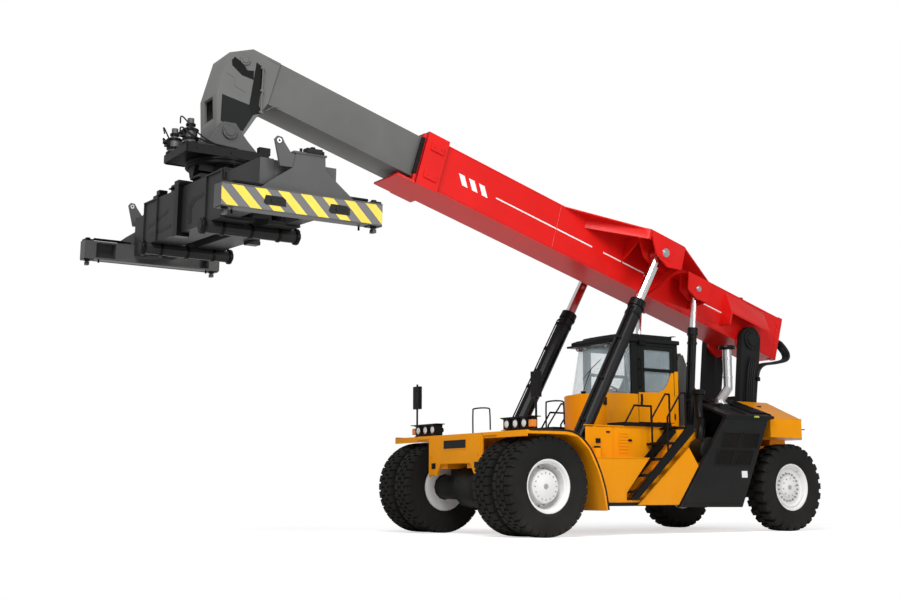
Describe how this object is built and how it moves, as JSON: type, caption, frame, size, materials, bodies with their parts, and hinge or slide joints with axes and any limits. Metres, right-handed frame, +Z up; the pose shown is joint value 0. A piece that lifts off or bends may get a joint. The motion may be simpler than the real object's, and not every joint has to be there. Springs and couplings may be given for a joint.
{
  "type": "reach stacker",
  "caption": "Wheeled container handler with a raised telescopic boom, a rotating telescopic spreader at its head, a glazed cab and twin front tyres.",
  "frame": {"origin": "on the ground, under the middle of the overall length, in the machine's middle plane", "axes": "+Z up, -Y to the machine's front where the spreader hangs, +X to its left side"},
  "size_m": [6.0671, 13.4601, 7.6829],
  "materials": {
    "yellow_paint": "gloss",
    "red_paint": "gloss",
    "grey_paint": "satin",
    "charcoal_paint": "satin",
    "black_paint": "satin",
    "white_paint": "gloss",
    "striped_paint": "gloss",
    "chrome": "polished",
    "polished_steel": "satin",
    "glass": "gloss",
    "tyre_rubber": "matte",
    "cab_trim": "matte",
    "seat_fabric": "matte"
  },
  "bodies": {
    "chassis": {"chassis_frame": "yellow_paint", "front_axle": "charcoal_paint", "steer_axle": "charcoal_paint", "engine_block": "charcoal_paint", "front_deck": "yellow_paint", "front_fender_left": "yellow_paint", "front_fender_right": "yellow_paint", "body_side_left": "yellow_paint", "body_side_right": "yellow_paint", "steps_left": "black_paint", "steps_right": "black_paint", "side_panel_left": "charcoal_paint", "side_panel_right": "charcoal_paint", "lamps_and_mirror_left": "black_paint", "lamps_and_mirror_right": "black_paint", "engine_hood": "charcoal_paint", "exhaust_stack": "polished_steel", "rear_cover": "grey_paint", "counterweight": "yellow_paint", "boom_support": "charcoal_paint", "cab_base": "yellow_paint", "cab_frame": "charcoal_paint", "cab_roof": "charcoal_paint", "windshield": "glass", "right_window": "glass", "rear_window": "glass", "operator_seat": "seat_fabric", "steering_console": "cab_trim"},
    "front_wheels_left": {"front_tyre_left_outer": "tyre_rubber", "front_tyre_left_inner": "tyre_rubber", "front_rim_left": "white_paint"},
    "front_wheels_right": {"front_tyre_right_outer": "tyre_rubber", "front_tyre_right_inner": "tyre_rubber", "front_rim_right": "white_paint"},
    "steering_left": {"steering_knuckle_left": "charcoal_paint"},
    "steering_right": {"steering_knuckle_right": "charcoal_paint"},
    "rear_wheel_left": {"rear_tyre_left": "tyre_rubber", "rear_rim_left": "white_paint"},
    "rear_wheel_right": {"rear_tyre_right": "tyre_rubber", "rear_rim_right": "white_paint"},
    "door": {"cab_door": "charcoal_paint", "cab_door_glass": "glass"},
    "main_boom": {"outer_boom": "red_paint"},
    "extending_boom": {"inner_boom": "grey_paint"},
    "yoke": {"spreader_yoke": "grey_paint"},
    "slewing": {"slew_frame": "black_paint"},
    "hanger": {"spreader_hanger": "black_paint"},
    "spreader": {"spreader_frame": "grey_paint"},
    "spreader_left": {"end_beam_left": "striped_paint"},
    "spreader_right": {"end_beam_right": "striped_paint"},
    "lift_barrel_left": {"lift_cylinder_left": "black_paint"},
    "lift_barrel_right": {"lift_cylinder_right": "black_paint"},
    "lift_rod_left": {"lift_rod_left": "chrome"},
    "lift_rod_right": {"lift_rod_right": "chrome"},
    "recovery_barrel_left": {"recovery_cylinder_left": "black_paint"},
    "recovery_barrel_right": {"recovery_cylinder_right": "black_paint"},
    "recovery_rod_left": {"recovery_rod_left": "chrome"},
    "recovery_rod_right": {"recovery_rod_right": "chrome"}
  },
  "joints": [
    {"name": "front_wheels_left_spin", "type": "hinge", "parent": "chassis", "child": "front_wheels_left", "pos_m": [1.51, -0.6, 0.81], "axis": [1, 0, 0], "continuous": true},
    {"name": "front_wheels_right_spin", "type": "hinge", "parent": "chassis", "child": "front_wheels_right", "pos_m": [-1.51, -0.6, 0.81], "axis": [1, 0, 0], "continuous": true},
    {"name": "steer_left", "type": "hinge", "parent": "chassis", "child": "steering_left", "pos_m": [1.05, 5.4, 0.81], "axis": [0, 0, 1], "range_deg": [-45, 45]},
    {"name": "rear_wheel_left_spin", "type": "hinge", "parent": "steering_left", "child": "rear_wheel_left", "pos_m": [1.46, 5.4, 0.81], "axis": [1, 0, 0], "continuous": true},
    {"name": "steer_right", "type": "hinge", "parent": "chassis", "child": "steering_right", "pos_m": [-1.05, 5.4, 0.81], "axis": [0, 0, 1], "range_deg": [-45.01, 45.01]},
    {"name": "rear_wheel_right_spin", "type": "hinge", "parent": "steering_right", "child": "rear_wheel_right", "pos_m": [-1.46, 5.4, 0.81], "axis": [1, 0, 0], "continuous": true},
    {"name": "door_swing", "type": "hinge", "parent": "chassis", "child": "door", "pos_m": [0.7, 3.4, 2.67], "axis": [0, 0, 1], "range_deg": [0, 80]},
    {"name": "boom_lift", "type": "hinge", "parent": "chassis", "child": "main_boom", "pos_m": [0, 5.65, 3.72], "axis": [-1, 0, 0], "range_deg": [-16.5, 43.5]},
    {"name": "boom_extend", "type": "slide", "parent": "main_boom", "child": "extending_boom", "axis": [0, 0.9588, -0.284], "range_m": [-4.9, 2.2]},
    {"name": "head_level", "type": "hinge", "parent": "extending_boom", "child": "yoke", "pos_m": [0, -5.52967, 6.23997], "axis": [-1, 0, 0], "range_deg": [-43.51, 16.51]},
    {"name": "rotator_turn", "type": "hinge", "parent": "yoke", "child": "slewing", "pos_m": [0, -5.5, 5.82], "axis": [0, 0, 1], "range_deg": [-105, 195]},
    {"name": "pile_slope", "type": "hinge", "parent": "slewing", "child": "hanger", "pos_m": [0, -5.5, 5.6], "axis": [0, 1, 0], "range_deg": [-7, 3]},
    {"name": "side_shift", "type": "slide", "parent": "hanger", "child": "spreader", "axis": [0.9994, 0, -0.0349], "range_m": [-0.8, 0.8]},
    {"name": "spreader_extend_left", "type": "slide", "parent": "spreader", "child": "spreader_left", "axis": [0.9994, 0, -0.0349], "range_m": [0, 3.05]},
    {"name": "spreader_extend_right", "type": "slide", "parent": "spreader", "child": "spreader_right", "axis": [-0.9994, 0, 0.0349], "range_m": [0, 3.05]},
    {"name": "lift_cylinder_left_swing", "type": "hinge", "parent": "chassis", "child": "lift_barrel_left", "pos_m": [1, 0.57, 1.15], "axis": [-1, 0, 0], "range_deg": [-1.38, 3.63]},
    {"name": "lift_rod_left_slide", "type": "slide", "parent": "lift_barrel_left", "child": "lift_rod_left", "axis": [0, 0.4949, 0.8689], "range_m": [-0.8644, 2.2782]},
    {"name": "lift_cylinder_right_swing", "type": "hinge", "parent": "chassis", "child": "lift_barrel_right", "pos_m": [-1, 0.57, 1.15], "axis": [-1, 0, 0], "range_deg": [-1.38, 3.63]},
    {"name": "lift_rod_right_slide", "type": "slide", "parent": "lift_barrel_right", "child": "lift_rod_right", "axis": [0, 0.4949, 0.8689], "range_m": [-0.8644, 2.2782]},
    {"name": "recovery_cylinder_left_swing", "type": "hinge", "parent": "chassis", "child": "recovery_barrel_left", "pos_m": [0.77, 3.6, 1.05], "axis": [-1, 0, 0], "range_deg": [-4.04, 10.65]},
    {"name": "recovery_rod_left_slide", "type": "slide", "parent": "recovery_barrel_left", "child": "recovery_rod_left", "axis": [0, 0.0893, 0.996], "range_m": [-0.4663, 1.2286]},
    {"name": "recovery_cylinder_right_swing", "type": "hinge", "parent": "chassis", "child": "recovery_barrel_right", "pos_m": [-0.77, 3.6, 1.05], "axis": [-1, 0, 0], "range_deg": [-4.04, 10.65]},
    {"name": "recovery_rod_right_slide", "type": "slide", "parent": "recovery_barrel_right", "child": "recovery_rod_right", "axis": [0, 0.0893, 0.996], "range_m": [-0.4663, 1.2286]}
  ],
  "couplings": [
    {"joint": "steer_right", "follows": "steer_left", "ratio": 1},
    {"joint": "head_level", "follows": "boom_lift", "ratio": -1},
    {"joint": "spreader_extend_right", "follows": "spreader_extend_left", "ratio": 1},
    {"joint": "lift_cylinder_left_swing", "follows": "boom_lift", "ratio": 0.0832},
    {"joint": "lift_rod_left_slide", "follows": "boom_lift", "m_per_rad": 3},
    {"joint": "lift_cylinder_right_swing", "follows": "boom_lift", "ratio": 0.0832},
    {"joint": "lift_rod_right_slide", "follows": "boom_lift", "m_per_rad": 3},
    {"joint": "recovery_cylinder_left_swing", "follows": "boom_lift", "ratio": 0.2445},
    {"joint": "recovery_rod_left_slide", "follows": "boom_lift", "m_per_rad": 1.6176},
    {"joint": "recovery_cylinder_right_swing", "follows": "boom_lift", "ratio": 0.2445},
    {"joint": "recovery_rod_right_slide", "follows": "boom_lift", "m_per_rad": 1.6176}
  ]
}
